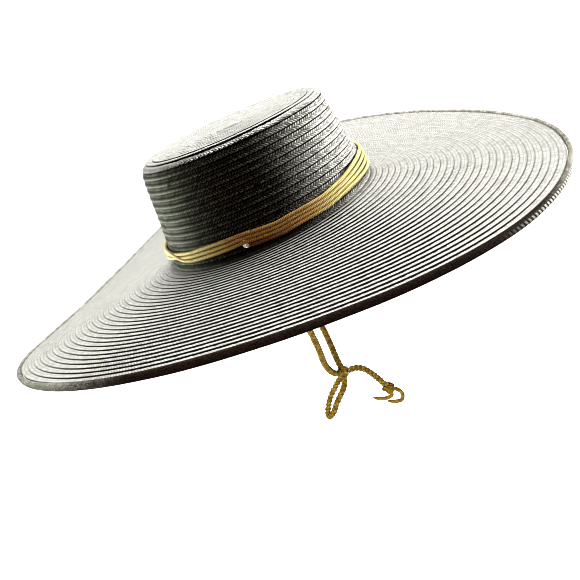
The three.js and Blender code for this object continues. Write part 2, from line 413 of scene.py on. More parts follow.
# A tube on a route. reach(along, around) gives the surface's distance from the middle line, and
# depth(along, around) what a finish reads as depth. The map cordMap runs along it in millimetres.
def makeTube(name, points, reach, sides, finish, side=(0, 0, 1), closed=False, depth=None):
    frames = crossFrames(points, closed, side)
    step = (points[1] - points[0]).length
    bm = bmesh.new()
    uv = bm.loops.layers.uv.new("cordMap")
    rings = len(points)
    bmesh.ops.create_grid(bm, x_segments=rings - 1, y_segments=sides, size=0.5)
    layer = bm.verts.layers.float.new("depth") if depth else None
    for face in bm.faces:
        for loop in face.loops:
            along = (loop.vert.co.x + 0.5) * (rings - 1) * step * 1000
            loop[uv].uv = (along, loop.vert.co.y + 0.5)
    for vert in bm.verts:
        ring = round((vert.co.x + 0.5) * (rings - 1))
        around = tau * (vert.co.y + 0.5)
        across, upward = frames[ring]
        if depth:
            vert[layer] = depth(ring * step, around)
        outward = across * math.cos(around) + upward * math.sin(around)
        vert.co = points[ring] + outward * reach(ring * step, around)
    bmesh.ops.remove_doubles(bm, verts=bm.verts, dist=1e-7)
    ends = [edge for edge in bm.edges if edge.is_boundary]
    if ends:
        bmesh.ops.holes_fill(bm, edges=ends, sides=0)
    bmesh.ops.recalc_face_normals(bm, faces=bm.faces)
    return addObject(name, meshFrom(name, bm), finish)


# Outline of the hat, as in the solids
crownShape = {
    "halfLength": 0.097, "halfWidth": 0.088, "height": 0.089, "taper": 0.0125,
    "shoulder": 0.009, "lean": 0.0025, "frontDrop": 0.038, "leftDrop": 0.045,
    "centreOval": 0.020, "backSwell": 0.0016, "foot": -0.0008,
}
brimShape = {
    "rimRadius": 0.259, "rimForward": 0.001, "rise": 0.0018, "edgeIn": 0.0028,
    "rowGrowth": 0.1,
    "waves": [  # the rim's height: waves round it, cosine part, sine part
        (0, -0.0206, 0.0),
        (1, -0.0097, -0.0010),
        (2, -0.0130, 0.0118),
        (3, -0.0012, -0.0057),
        (4, 0.0024, 0.0),
    ],
}


def crownPoint(radius, angle, height):
    shape = crownShape
    narrower = (shape["halfLength"] - shape["halfWidth"]) * min(1, radius / shape["centreOval"])
    rise = height / shape["height"]
    swell = shape["backSwell"] * math.sin(math.pi * max(rise, 0) ** 3) * max(-math.cos(angle), 0)
    x = (radius + swell) * math.cos(angle) + shape["lean"] * rise
    y = (radius - narrower) * math.sin(angle)
    return Vector((x, y, height - rise * (shape["frontDrop"] * x + shape["leftDrop"] * y)))


def besideCrown(azimuth, height, out):
    radius = crownShape["halfLength"] - crownShape["taper"] * height / crownShape["height"] + out
    return crownPoint(radius, math.radians(azimuth), height)


def rimHeight(angle):
    return sum(along * math.cos(turns * angle) + across * math.sin(turns * angle)
               for turns, along, across in brimShape["waves"])


def rimPoint(angle, out, up):
    radius = brimShape["rimRadius"] + out
    x = brimShape["rimForward"] + radius * math.cos(angle)
    return Vector((x, radius * math.sin(angle), rimHeight(angle) + up))


def brimPoint(share, angle, height):
    foot = crownPoint(crownShape["halfLength"], angle, 0)
    rim = rimPoint(angle, -brimShape["edgeIn"], brimShape["rise"])
    point = foot.lerp(rim, share)
    point.z = max(share, 0) * rim.z + height
    return point


# Straw: flat plaited braid, sewn in rows whose outer edge lies over the next row. Pairs of numbers are
# where something starts to show and where it is whole.
strawLook = {
    "straw": (0.66, 0.66, 0.63), "warm": (0.62, 0.60, 0.56), "patchScale": 14.0,
    # The hollow colour is painted shade between the straws, and the colour after it is the painted shadow between the
    # rows
    "hollow": (0.030, 0.024, 0.016), "gap": (0.003, 0.002, 0.002),
    "specular": 0.03, "sheen": 0.35, "dull": 0.75, "polish": 0.33,
    "bump": 0.0005, "bumpStrength": 0.7,
    # the plait, with painted shade in the hollows between its straws
    "columns": 2, "slant": 0.9, "barSharpness": 1.3, "laneDepth": 1.2, "phases": 5.0,
    "contrast": 2.4, "cutOff": 0.65, "pressed": 0.6,
    # where the crown starts above the brim, its wall below the shoulder, and its top
    "crown": (0.001, 0.004), "wall": (13.3, 13.9), "top": (11.6, 12.0),
    # folded straws on the wall, lighter partly by their own tone and partly by a painted highlight
    "foldShare": 0.58, "foldAt": 0.97, "foldRise": 0.21, "foldWidth": 0.080, "foldTop": 0.6,
    "foldStart": (0.0, 0.12), "foldEnd": (0.6, 0.76), "foldTone": 2.4,
    # towards the front: fainter folds, less painted hollow shade and a painted lighter body
    "flat": (0.0, 0.6), "flatFold": 0.8, "flatShade": 0.5, "flatTone": 0.4,
    # painted shadow in the gaps between the rows
    "line": 0.055, "lineGrowth": 0.30, "lineInner": 0.04, "lineOuter": 0.03,
    "ragged": 0.55, "raggedScale": 200.0, "faint": 0.10,
    "rightDark": (0.2, 0.85), "rightWide": (0.35, 1.0), "frontLess": 0.25,
    "wallSide": (-0.7, -0.1), "wallDark": 0.9, "wallWide": 0.35, "topLess": 0.9,
    # tones, with painted shade on the wall's foot and bodies and on the brim towards the wearer's left
    "bodyTone": 0.72, "footTone": 0.25, "foot": (0.004, 0.014), "greyed": 0.18, "leftSide": (-0.22, 0.0),
    "plain": 0.8, "variety": 0.4, "wallPlain": 0.35, "wallVariety": 0.8, "brightest": 1.6,
    "splice": (0.3, 1.3), "spliceAcross": (0.55, 0.7),
}


def strawFinish(name, look):
    fin = Finish(name, {"Specular IOR Level": look["specular"]})
    place = fin.position()
    x, y, z = fin.apart(place)
    turns = fin.attribute("turns")
    row = fin.attribute("row")
    rowNumber = row.floor()
    across = row.fract()
    phase = fin.cellTone(rowNumber, 3.0) * look["phases"]
    turnShare = x.math("ARCTAN2", y, x) / tau
    right = 0.0 - (turnShare * tau).sine()  # 1 on the wearer's right, -1 on the left
    ahead = ((turnShare + 0.25) * tau).sine()  # 1 at the front, -1 at the back
    onCrown = z.above(*look["crown"])
    wall = onCrown * row.above(*look["wall"])
    top = onCrown * (1.0 - row.above(*look["top"]))

    # Straws of the plait, slanting to and fro in its columns
    column = (across * look["columns"]).floor()
    within = (across * look["columns"]).fract()
    way = 1.0 - (column % 2.0) * 2.0
    straws = turnShare * turns + phase + way * (within - 0.5) * look["slant"] + column * 0.5
    bars = 1.0 - straws.ridge() ** look["barSharpness"]
    lanes = 1.0 - (within - 0.5).abs() * look["laneDepth"]
    tone = fin.cellTone(straws.floor(), column + rowNumber * look["columns"])

    # Folded straws along the outer edge of the wall's rows, as slanting leaves, fainter in front
    along = (turnShare * (turns * look["foldShare"]).round() + phase).fract()
    middle = look["foldAt"] - along * look["foldRise"]
    fold = (1.0 - (across - middle).abs() / look["foldWidth"]).clamped(0.0, look["foldTop"])
    flat = ahead.above(*look["flat"])
    fold = fold / look["foldTop"] * along.above(*look["foldStart"]) * (1.0 - along.above(*look["foldEnd"]))
    fold = fold * wall * (1.0 - flat * look["flatFold"])
    height = bars * lanes * (1.0 - fold) + fold

    # Painted shadow beside the row before, for the shade under its overlapping edge: on the brim widest on the
    # wearer's right and faint on the left, on the wall all round but for the back, and hardly any on the top
    wallSide = ahead.above(*look["wallSide"]) * wall
    rightSide = right - ahead.above(0.0, 1.0) * look["frontLess"]
    strength = rightSide.above(*look["rightDark"]) * (1.0 - wall) + wallSide * look["wallDark"]
    growth = rightSide.above(*look["rightWide"]) * (1.0 - wall) + wallSide * look["wallWide"]
    ragged = (fin.noisy(place, look["raggedScale"]) - 0.5) * look["ragged"]
    width = look["line"] + growth * (look["lineGrowth"] + ragged)
    line = 1.0 - across.above(width - look["lineInner"], width + look["lineOuter"])
    line = line * (1.0 - top * look["topLess"])
    gap = line.math("MAXIMUM", line, fin.attribute("gap"))
    gap = gap * (look["faint"] + strength * (1.0 - look["faint"]))

    # One splice in each row, where the straws look hollow
    fromSplice = (turnShare - fin.cellTone(rowNumber, 9.0)).fract() - 0.5
    splice = (1.0 - (fromSplice.abs() * turns).above(*look["splice"])) * across.above(*look["spliceAcross"])
    # Painted shade in the hollows between the straws and at the splice, lessened on the brim, the top and the wall's
    # front, then deepened by the painted shadow between the rows
    shade = (height * look["contrast"] - look["cutOff"]).clamped() * (1.0 - splice)
    pressed = (1.0 - wall + wall * flat * look["flatShade"]) * look["pressed"]
    shade = (shade + pressed * (1.0 - shade)) * (1.0 - gap)

    # Tones of the straws: on the wall, painted shade darkens the row bodies and the foot under the band, and a painted
    # highlight, partly the folds' own paler tone, lightens the folds and the front; painted shade greys the brim
    # towards the wearer's left
    body = look["bodyTone"] + flat * look["flatTone"]
    lit = body + fold * (look["foldTone"] - body)
    lit = lit * (look["footTone"] + z.above(*look["foot"]) * (1.0 - look["footTone"]))
    variety = tone * (look["variety"] + wall * look["wallVariety"])
    tone = (variety + look["plain"] - wall * look["wallPlain"]) * (1.0 - wall + wall * lit)
    # Painted shade: the brim is greyed towards the wearer's left
    grey = y.above(*look["leftSide"]) * (1.0 - onCrown)
    tone = tone * (1.0 - grey * look["greyed"])
    straw = fin.mixed(fin.noisy(place, look["patchScale"]), look["straw"], look["warm"])
    straw = fin.scaled(straw, tone.clamped(0.0, look["brightest"]))
    colour = fin.mixed(shade, look["hollow"], straw)
    # The painted shadow between the rows lies over the colour
    fin.link("Base Color", fin.mixed(gap, colour, look["gap"]))
    fin.link("Metallic", shade * look["sheen"])
    fin.link("Roughness", look["dull"] - shade * look["polish"])
    fin.bump(height, look["bumpStrength"], look["bump"])
    return fin


strawCloth = strawFinish("strawBraid", strawLook)


# One row of braid across its width: share of the width, share of the step's height, and how dark its painted shadow is
# on the crown and on the brim
tucked = 0.84  # the row's edge turns back under it to here
rowSection = [
    (-0.18, 0.02, 1.0, 1.0),
    (0.08, 0.12, 0.3, 0.3),
    (0.20, 0.28, 0.0, 0.0),
    (0.32, 0.46, 0.0, 0.0),
    (0.74, 0.92, 0.0, 0.0),
    (0.95, 1.00, 0.0, 0.1),
    (1.00, 0.86, 0.1, 0.9),
    (1.01, 0.60, 0.7, 1.0),
    (tucked, 0.46, 1.0, 1.0),
]
underSection = [(0.98, 0.0), (0.04, 1.0)]  # share of the width and depth of the step on the inside
seamAngle = 0.8  # in radians: faces that meet at more than this show an edge


# Spins an outline round +Z and moves each point of it with place(radius, angle, height, value).
# An outline's point is its radius, its height and the values that its keys name, the first of them for place.
def spinOutline(name, outline, keys, segments, place, finish, closed=True, sharpAngle=None):
    bm = bmesh.new()
    layers = [bm.verts.layers.float.new(key) for key in keys]
    verts = []
    for radius, height, *values in outline:
        vert = bm.verts.new((radius, 0, height))
        for layer, value in zip(layers, values):
            vert[layer] = value
        verts.append(vert)
    edges = [bm.edges.new(pair) for pair in zip(verts, verts[1:])]
    if closed:
        edges.append(bm.edges.new((verts[-1], verts[0])))
    bmesh.ops.spin(bm, geom=verts + edges, cent=(0, 0, 0), axis=(0, 0, 1), dvec=(0, 0, 0),
                   angle=tau, steps=segments, use_merge=True)
    bmesh.ops.remove_doubles(bm, verts=bm.verts, dist=1e-7)
    for vert in bm.verts:
        radius = math.hypot(vert.co.x, vert.co.y)
        vert.co = place(radius, math.atan2(vert.co.y, vert.co.x), vert.co.z, vert[layers[0]])
    bmesh.ops.recalc_face_normals(bm, faces=bm.faces)
    return addObject(name, meshFrom(name, bm, sharpAngle), finish)


braidKeys = ("row", "turns", "gap")  # row and share across it, straws round it, darkness of the painted shadow


# Small unevenness of hand-sewn rows, the same each time
def uneven(angle, row, size):
    swing = Vector((math.cos(angle) * 5.0, math.sin(angle) * 5.0, row * 0.9))
    return noise.noise(swing) * size


crownRows = {
    "rows": 28, "step": 0.00125, "sunk": 0.00025, "wall": 0.0016, "straw": 0.0029,
    "segments": 256, "wobble": 0.0005, "wobbleShare": 0.4, "steadyRadius": 0.02, "underStep": 0.0006,
    # the top's rows take a weaker painted shadow
    "topRows": 11, "topStep": 0.2, "topGap": 0.15, "shoulderRows": 14, "shoulderStep": 0.9,
    "firstShare": 0.3, "innermost": 0.001, "middleTurns": 6,
}


# The crown's outline from the top's middle outwards: slope of the wall, reach of the flat top, and
# length of the rounded shoulder
def crownRuns():
    shape = crownShape
    slope = math.atan2(shape["taper"], shape["height"])
    flat = shape["halfLength"] - shape["taper"] - shape["shoulder"]
    return slope, flat, (math.pi / 2 - slope) * shape["shoulder"]


# Radius and height of the place at a distance along that outline, moved out of the wall by lift
def crownWall(distance, lift):
    radius = crownShape["shoulder"]
    slope, flat, bend = crownRuns()
    if distance < flat:
        return distance, crownShape["height"] + lift
    turn = max(math.pi / 2 - (distance - flat) / radius, slope)
    outward, upward = math.cos(turn), math.sin(turn)
    down = max(distance - flat - bend, 0.0)
    across = flat + radius * outward + down * upward
    height = crownShape["height"] - radius + radius * upward - down * outward
    return across + outward * lift, height + upward * lift


def crownWallLength():
    shape = crownShape
    slope, flat, bend = crownRuns()
    side = (shape["height"] - shape["shoulder"] * (1 - math.sin(slope)) - shape["foot"]) / math.cos(slope)
    return flat + bend + side


def girthTurns(radius, straw):  # how many straws go round a row
    return max(crownRows["middleTurns"], round(tau * radius / straw))


def withinRow(row, share):  # the row and the share across it, kept between the row's own edges
    return row + min(max(share, 0.001), 0.999)


def makeCrown():
    rows = crownRows
    length = crownWallLength()
    pitch = length / rows["rows"]
    outline = [(0.0, crownShape["height"] - rows["sunk"], 0.0, rows["middleTurns"], 0.0)]
    rowTurns = [girthTurns(crownWall((row + 0.5) * pitch, 0)[0], rows["straw"])
                for row in range(rows["rows"])]
    for row, turns in enumerate(rowTurns):
        step = rows["step"]
        shadow = 1.0
        if row < rows["topRows"]:
            step *= rows["topStep"]
            shadow = rows["topGap"]
        elif row < rows["shoulderRows"]:
            step *= rows["shoulderStep"]
        for share, lift, gap, brimShadow in rowSection:
            first = row == 0 and share < rows["firstShare"]
            last = row == rows["rows"] - 1 and share == tucked
            if first or last:
                continue
            distance = max((row + share) * pitch, rows["innermost"])
            radius, height = crownWall(min(distance, length), lift * step - rows["sunk"])
            outline.append((radius, height, withinRow(row, share), turns, gap * shadow))
    for row, turns in reversed(list(enumerate(rowTurns))):
        for share, depth in underSection:
            radius, height = crownWall((row + share) * pitch, -rows["wall"] - depth * rows["underStep"])
            outline.append((max(radius, 0.0), height, row + share, turns, 0.0))
    outline.append((0.0, outline[-1][1], 0.0, rows["middleTurns"], 0.0))

    def place(radius, angle, height, row):
        steady = min(radius / rows["steadyRadius"], 1.0)
        shift = uneven(angle, math.floor(row), rows["wobble"]) * steady * rows["wobbleShare"]
        return crownPoint(max(radius + shift, 0.0), angle, height + shift)

    return spinOutline("strawCrown", outline, braidKeys, rows["segments"], place, strawCloth,
                       False, seamAngle)


brimRows = {
    "rows": 28, "step": 0.00090, "sunk": 0.00035, "wall": 0.0016, "straw": 0.0029,
    "segments": 288, "wobble": 0.0006, "underStep": 0.0006, "footRadius": 0.0925, "startShare": -0.25,
    "steadyRows": 8, "riseShare": 0.5,
}


def makeBrim():
    rows = brimRows
    growth = brimShape["rowGrowth"]
    span = brimShape["rimRadius"] - crownShape["halfLength"]
    outline = []

    def along(edge):
        part = edge / rows["rows"]
        return part * (1 - growth + growth * part)

    rowTurns = [girthTurns(rows["footRadius"] + span * along(row + 0.5), rows["straw"])
                for row in range(rows["rows"])]
    for row, turns in enumerate(rowTurns):
        for share, lift, crownShadow, gap in rowSection:
            if row == rows["rows"] - 1 and share == tucked:
                continue
            edge = min(max(row + share, rows["startShare"]), rows["rows"])
            height = lift * rows["step"] - rows["sunk"]
            outline.append((1 + along(edge), height, withinRow(row, share), turns, gap))
    for row, turns in reversed(list(enumerate(rowTurns))):
        for share, depth in underSection:
            height = -rows["wall"] - depth * rows["underStep"]
            outline.append((1 + along(row + share), height, row + share, turns, 0.0))

    def place(radius, angle, height, row):  # the radius is 1 at the crown's foot and 2 at the rim
        inner = min(max((radius - 1) * rows["steadyRows"], 0), 1)
        outer = min((2 - radius) * rows["steadyRows"], 1)
        shift = uneven(angle, math.floor(row), rows["wobble"]) * inner * outer
        point = brimPoint(radius - 1, angle, height + shift * rows["riseShare"])
        return point + Vector((math.cos(angle), math.sin(angle), 0)) * shift

    return spinOutline("strawBrim", outline, braidKeys, rows["segments"], place, strawCloth,
                       True, seamAngle)


# The two small holes that the chin cord goes through
eyelets = {"azimuth": 106.4, "height": 0.0100, "radius": 0.0036, "depth": 0.012, "segments": 20}


def wallNormal(side):
    angle = side * eyelets["azimuth"]
    out = besideCrown(angle, eyelets["height"], 0)
    along = besideCrown(angle + 1, eyelets["height"], 0) - out
    up = besideCrown(angle, eyelets["height"] + 0.001, 0) - out
    return along.cross(up).normalized()


def cutEyelets(crown):
    bm = bmesh.new()
    for side in (-1, 1):
        middle = besideCrown(side * eyelets["azimuth"], eyelets["height"], 0)
        turn = Vector((0, 0, 1)).rotation_difference(wallNormal(side)).to_matrix().to_4x4()
        bmesh.ops.create_cone(bm, cap_ends=True, segments=eyelets["segments"], radius1=eyelets["radius"],
                              radius2=eyelets["radius"], depth=eyelets["depth"],
                              matrix=Matrix.Translation(middle) @ turn)
    drill = addObject("drill", meshFrom("drill", bm), strawCloth)
    cut = crown.modifiers.new("eyelets", "BOOLEAN")
    cut.operation = "DIFFERENCE"
    cut.solver = "EXACT"
    cut.object = drill
    graph = bpy.context.evaluated_depsgraph_get()
    mesh = bpy.data.meshes.new_from_object(crown.evaluated_get(graph))
    crown.modifiers.clear()
    crown.data = mesh
    bpy.data.objects.remove(drill)


crown = makeCrown()
cutEyelets(crown)
wear(crown, "crown", "straw")
wear(makeBrim(), "brim", "straw")
print("straw rows made")


# Rolled edge: a narrower braid folded over the rim, painted dark brown on the wearer's right as painted shade, and
# with pale loops on its outer side in front
edgeRoll = {
    "halfWidth": 0.0025, "halfHeight": 0.0035, "sides": 20, "segments": 288,
    "wobble": 0.0006, "wobbleRow": 31,
    "straw": (0.44, 0.43, 0.38), "dark": (0.34, 0.32, 0.27), "patchScale": 20.0,
    # The hollow colour is painted shade between the straws; the dark brown after it is painted shade on the wearer's
    # right
    "hollow": (0.016, 0.010, 0.007), "brown": (0.016, 0.008, 0.005), "pale": (0.70, 0.67, 0.62),
    "rough": 0.6, "specular": 0.02, "sheen": 0.35, "bump": 0.0005, "bumpStrength": 0.8,
    "turns": 640, "slant": 0.8, "lanes": 2.5, "laneDepth": 0.6, "sharpness": 3.0, "contrast": 1.3,
    "variety": 0.8, "plain": 0.5, "pressed": 0.6, "brownFrom": (0.5, 0.8), "frontBrown": 0.12,
    "speckleScale": 800.0, "speckle": (0.40, 0.60), "speckleFrom": (-0.2, 0.2), "speckled": 0.7,
    "loops": 330, "loopEdge": (0.35, 0.65), "loopBelow": (-0.45, -0.2), "loopOutside": (-0.2, 0.1),
    "loopFront": (0.2, 0.5), "loopRight": (0.65, 0.85),
}


def edgeFinish(look):
    fin = Finish("rolledStraw", {"Roughness": look["rough"], "Specular IOR Level": look["specular"]})
    place = fin.position()
    x, y = fin.apart(place)[:2]
    turnShare = x.math("ARCTAN2", y, x) / tau
    right = 0.0 - (turnShare * tau).sine()
    ahead = ((turnShare + 0.25) * tau).sine()
    top = fin.attribute("top")
    lane = top * look["lanes"] + 0.5
    way = 1.0 - (lane.floor() % 2.0) * 2.0
    straws = turnShare * look["turns"] + way * (top * look["lanes"]).fract() * look["slant"]
    bars = 1.0 - straws.ridge() ** look["sharpness"]
    height = bars * (1.0 - lane.ridge() ** look["sharpness"] * look["laneDepth"])
    tone = fin.cellTone(straws.floor(), lane.floor()) * look["variety"] + look["plain"]
    # Painted shade: dark brown on the wearer's right, reaching a little further round at the front, with less sheen
    # there
    brown = (right + ahead * look["frontBrown"]).above(*look["brownFrom"])
    base = fin.mixed(fin.noisy(place, look["patchScale"]), look["straw"], look["dark"])
    base = fin.scaled(fin.mixed(brown, base, look["brown"]), tone)
    speckles = 1.0 - fin.noisy(place, look["speckleScale"]).above(*look["speckle"])
    base = fin.scaled(base, 1.0 - speckles * right.above(*look["speckleFrom"]) * look["speckled"])
    # Painted shade in the hollows between the straws, lessened away from the painted dark brown
    shade = (height * look["contrast"]).clamped()
    shade = shade + (1.0 - shade) * (1.0 - brown) * look["pressed"]
    colour = fin.mixed(shade, look["hollow"], base)

    # Loops of straw on the outer side, from a little above its middle down
    loops = (turnShare * look["loops"] + top * 0.5).ridge().above(*look["loopEdge"])
    outer = (0.0 - top).above(*look["loopBelow"]) * fin.attribute("outward").above(*look["loopOutside"])
    outer = outer * ahead.above(*look["loopFront"]) * (1.0 - right.above(*look["loopRight"]))
    outside = fin.mixed(loops, look["hollow"], look["pale"])
    fin.link("Base Color", fin.mixed(outer, colour, outside))
    fin.link("Metallic", shade * look["sheen"] * (1.0 - brown))
    fin.bump(height, look["bumpStrength"], look["bump"])
    return fin


def makeRoll(look):
    outline = []
    for corner in range(look["sides"]):
        turn = tau * (corner + 0.5) / look["sides"]
        outward, top = math.cos(turn), math.sin(turn)
        outline.append((1 + look["halfWidth"] * outward, look["halfHeight"] * top, top, outward))

    def place(radius, angle, height, top):
        return rimPoint(angle, radius - 1, height + uneven(angle, look["wobbleRow"], look["wobble"]))

    return spinOutline("rolledEdge", outline, ("top", "outward"), look["segments"], place,
                       edgeFinish(look))


wear(makeRoll(edgeRoll), "edge_roll", "edge_straw")
print("rolled edge made")


# Band: ribbed cords round the foot of the crown. Ribs, ends and tips are in millimetres of cord.
bandCord = {
    "radius": 0.00160, "standOff": 0.0024, "step": 0.0012, "sides": 12, "liftShare": 0.35,
    "crest": (0.94, 0.82, 0.26), "deep": (0.80, 0.58, 0.11), "patchScale": 60.0,
    "amber": (0.56, 0.23, 0.027), "ambered": 0.85, "amberFrom": (0.75, 0.98),
    "groove": (0.14, 0.055, 0.006), "rust": (0.26, 0.045, 0.012), "rustEnd": (20, 55),
    "pale": (0.85, 0.84, 0.80), "tip": (2.2, 2.6),
    "rough": 0.5, "specular": 0.4, "fuzz": 0.25, "rib": 1.5, "ribContrast": 1.4,
    "bump": 0.0003, "bumpStrength": 0.8,
    "frontEnd": {"azimuth": 105.8, "front": 9.3},
}
# Azimuth in degrees either way from the front, heights of the cords and how far the lower one is
# lifted over the others, in millimetres
bandRows = [
    {"azimuth": 0, "upper": 23.2, "middle": 18.6, "lower": 14.0, "front": 9.4, "lift": 0},
    {"azimuth": 20, "upper": 23.2, "middle": 18.6, "lower": 14.0, "front": 9.4, "lift": 0},
    {"azimuth": 35, "upper": 21.0, "middle": 17.0, "lower": 13.2, "front": 9.5, "lift": 0},
    {"azimuth": 45, "upper": 18.9, "middle": 15.5, "lower": 12.3, "front": 9.1, "lift": 0},
    {"azimuth": 55, "upper": 17.5, "middle": 14.2, "lower": 11.0, "front": 7.8, "lift": 0},
    {"azimuth": 62, "upper": 16.5, "middle": 13.4, "lower": 10.3, "front": 7.1, "lift": 0},
    {"azimuth": 70, "upper": 16.6, "middle": 13.5, "lower": 10.4, "front": 7.3, "lift": 0},
    {"azimuth": 81, "upper": 16.7, "middle": 13.6, "lower": 10.5, "front": 7.4, "lift": 0},
    {"azimuth": 88, "upper": 16.2, "middle": 13.1, "lower": 10.0, "front": 6.9, "lift": 0},
    {"azimuth": 93, "upper": 16.7, "middle": 13.6, "lower": 10.5, "front": 7.4, "lift": 0},
    {"azimuth": 99, "upper": 17.6, "middle": 14.5, "lower": 11.4, "front": 8.0, "lift": 0},
    {"azimuth": 105, "upper": 18.6, "middle": 15.5, "lower": 12.4, "lift": 0},
    {"azimuth": 115, "upper": 18.6, "middle": 15.2, "lower": 11.8, "lift": 0},
    {"azimuth": 125, "upper": 18.2, "middle": 14.7, "lower": 11.2, "lift": 0},
    {"azimuth": 132, "upper": 17.5, "middle": 14.2, "lower": 10.8, "lift": 0.2},
    {"azimuth": 138, "upper": 16.8, "middle": 13.6, "lower": 10.4, "lift": 0.9},
    {"azimuth": 142, "upper": 16.6, "middle": 13.4, "lower": 10.6, "lift": 2.2},
    {"azimuth": 147, "upper": 16.4, "middle": 13.2, "lower": 11.7, "lift": 3.5},
    {"azimuth": 152, "upper": 16.2, "middle": 13.1, "lower": 14.2, "lift": 3.9},
    {"azimuth": 158, "upper": 15.6, "middle": 12.4, "lower": 16.7, "lift": 3.6},
    {"azimuth": 165, "upper": 14.4, "middle": 11.2, "lower": 17.6, "lift": 2.2},
    {"azimuth": 172, "upper": 13.6, "middle": 10.4, "lower": 17.0, "lift": 0.6},
    {"azimuth": 180, "upper": 13.4, "middle": 10.2, "lower": 16.7, "lift": 0},
]


def bandFinish(name, look, length=None):  # with a length, the ends are rust and the tips pale
    fin = Finish(name, {"Roughness": look["rough"], "Specular IOR Level": look["specular"],
                        "Sheen Weight": look["fuzz"]})
    along, around = fin.alongAround()
    ribs = (along / look["rib"] + around).ridge()
    height = 1.0 - ribs ** 2.0
    place = fin.position()
    x, y = fin.apart(place)[:2]
    right = (y / (x * x + y * y) ** 0.5 * -1.0).above(*look["amberFrom"])  # painted shade: the wearer's right is amber
    base = fin.mixed(fin.noisy(place, look["patchScale"]), look["crest"], look["deep"])
    base = fin.mixed(right * look["ambered"], base, look["amber"])
    if length:
        fromEnd = length / 2 - (along - length / 2).abs()
        base = fin.mixed(fromEnd.above(*look["rustEnd"]), look["rust"], base)
    # Painted shade in the grooves between the ribs
    colour = fin.mixed((height * look["ribContrast"]).clamped(), look["groove"], base)
    if length:
        colour = fin.mixed(fromEnd.above(*look["tip"]), look["pale"], colour)
    fin.link("Base Color", colour)
    fin.bump(height, look["bumpStrength"], look["bump"])
    return fin


ribbedCord = bandFinish("ribbedCord", bandCord)


def bandRoute(column):
    points = []
    for side in (1, -1):
        rows = list(reversed(bandRows)) if side > 0 else bandRows[1:-1]
        for row in rows:
            lift = row["lift"] * bandCord["liftShare"] / 1000 if column == "lower" else 0
            azimuth = side * row["azimuth"]
            points.append(besideCrown(azimuth, row[column] / 1000, bandCord["standOff"] + lift))
    return points


def frontRoute():
    half = [row for row in bandRows if "front" in row] + [bandCord["frontEnd"]]
    places = [(row["azimuth"], row["front"] / 1000) for row in half]
    left = [besideCrown(azimuth, height, bandCord["standOff"]) for azimuth, height in places]
    right = [besideCrown(-azimuth, height, bandCord["standOff"]) for azimuth, height in places[1:]]
    return list(reversed(left)) + right


def makeBandCord(column, route, closed):
    name = "bandCord" + column.capitalize()
    points, length = evenly(smoothRoute(route, closed), bandCord["step"])
    finish = ribbedCord if closed else bandFinish("ribbedCordWithEnds", bandCord, length * 1000)
    cord = makeTube(name, points, lambda along, around: bandCord["radius"], bandCord["sides"],
                    finish, closed=closed)
    wear(cord, "band_cord_" + column, "band_cord")
    printLength(name, length)


for column in ("upper", "middle", "lower"):
    makeBandCord(column, bandRoute(column), True)
makeBandCord("front", frontRoute(), False)
print("band made")


# Chin cord: three strands plaited flat, tied in a hanging loop and a free end. A strand's radius, the
# sway and thickness of the plait and its pitch are in metres, the tip and threads in millimetres of cord.
chinCord = {
    "diameter": 0.0055, "strand": 0.00190, "sway": 0.00105, "thick": 0.00075, "pitch": 0.0124,
    "step": 0.0005, "sides": 20, "outOfWall": 0.0004,
    "crest": (0.84, 0.62, 0.08), "brown": (0.48, 0.27, 0.02), "blotch": (0.42, 0.62), "blotchScale": 260.0,
    "crease": (0.08, 0.035, 0.005), "creaseDepth": 0.0008, "pale": (0.90, 0.89, 0.85), "tip": (0.4, 0.8),
    "rough": 0.65, "specular": 0.3, "fuzz": 0.3, "bump": 0.0003, "bumpStrength": 0.6,
    "threads": 1.7, "threadTurns": 9.0, "threadDark": 0.35, "threadHeight": 0.15, "brightness": 1.1,
}
# Knots: a trefoil of plait. Ring, thick, reach and step are shares of a knot's radius, and bulge is a
# share of thick. intoKnot is how far inside the radius, in metres, the cords end.
chinKnot = {
    "centre": (-0.0054, 0, -0.168), "radius": 0.006, "swell": 1.0,
    "turn": Matrix.Rotation(1.1, 3, "X") @ Matrix.Rotation(0.6, 3, "Z"),
}
endKnot = {
    "centre": (0.0264, 0, -0.2028), "radius": 0.0045, "swell": 1.4,
    "turn": Matrix.Rotation(0.8, 3, "Y"),
}
knotCord = {
    "ring": 0.44, "thick": 0.46, "bulge": 0.45, "reach": 0.38, "fuller": 1.05, "step": 0.12,
    "routePoints": 36, "fine": 12, "sides": 14, "intoKnot": 0.0012,
}
tailCord = {
    "diameter": 0.0028, "step": 0.0006, "sides": 12, "taper": 0.005, "endShare": 0.6, "swell": 0.7,
    "uneven": 0.05, "unevenTurns": 2600, "depth": 0.9,
}

rightRoute = [
    (-0.0252, -0.0781, 0.0096),
    (-0.0244, -0.0715, 0.0060),
    (-0.0236, -0.0684, -0.0018),
    (-0.0210, -0.0680, -0.028),
    (-0.0170, -0.0665, -0.060),
    (-0.0133, -0.0620, -0.0889),
    (-0.0140, -0.0480, -0.1136),
    (-0.0160, -0.0270, -0.1435),
    (-0.0122, -0.0100, -0.1612),
]
leftRoute = [
    (-0.0252, 0.0781, 0.0096),
    (-0.0244, 0.0715, 0.0060),
    (-0.0236, 0.0684, -0.0018),
    (-0.0200, 0.0685, -0.030),
    (-0.0155, 0.0665, -0.065),
    (-0.0100, 0.0580, -0.103),
    (-0.0054, 0.0400, -0.1322),
    (-0.0051, 0.0280, -0.1440),
    (-0.0056, 0.0130, -0.1564),
]
loopRoute = [
    (-0.0096, -0.0070, -0.1772),
    (-0.0225, -0.0085, -0.1889),
    (-0.0315, -0.0065, -0.1990),
    (-0.0364, 0.0, -0.2034),
    (-0.0356, 0.0065, -0.2008),
    (-0.0280, 0.0085, -0.1904),
    (-0.0184, 0.0068, -0.1810),
]
